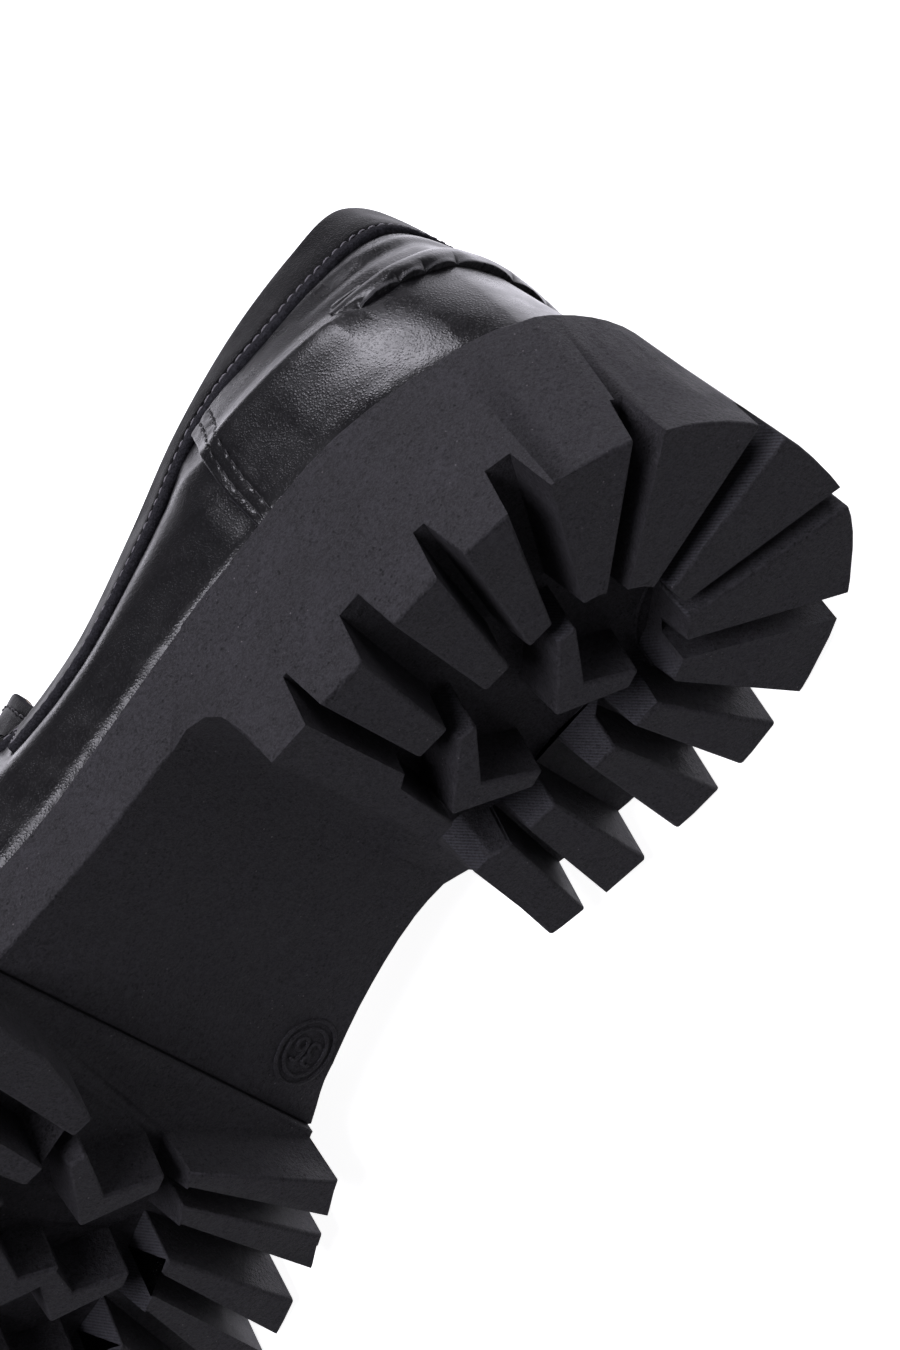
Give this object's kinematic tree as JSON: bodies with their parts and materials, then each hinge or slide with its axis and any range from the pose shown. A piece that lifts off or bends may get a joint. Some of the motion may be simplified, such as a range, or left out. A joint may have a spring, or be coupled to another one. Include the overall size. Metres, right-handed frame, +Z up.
{
  "type": "loafer",
  "caption": "Left slip-on loafer with a saddle strap on a chunky moulded sole with deep lugs, lying on its inner side.",
  "frame": {"origin": "middle of the bounding box's bottom face, on the floor that the shoe lies on", "axes": "-X towards the toe, -Y the way the tread faces, +Z up, out of the shoe's outer side"},
  "size_m": [0.2544, 0.081, 0.099],
  "materials": {
    "sole_rubber": "matte moulded rubber with fine pores",
    "upper_leather": "semi-gloss black leather with a fine grain",
    "footbed": "plain tan lining leather"
  },
  "bodies": {
    "root": {"outsole": "sole_rubber", "upper": "upper_leather", "insole": "footbed", "tongue": "upper_leather", "saddle_strap": "upper_leather", "heel_kicker": "upper_leather"}
  },
  "joints": []
}
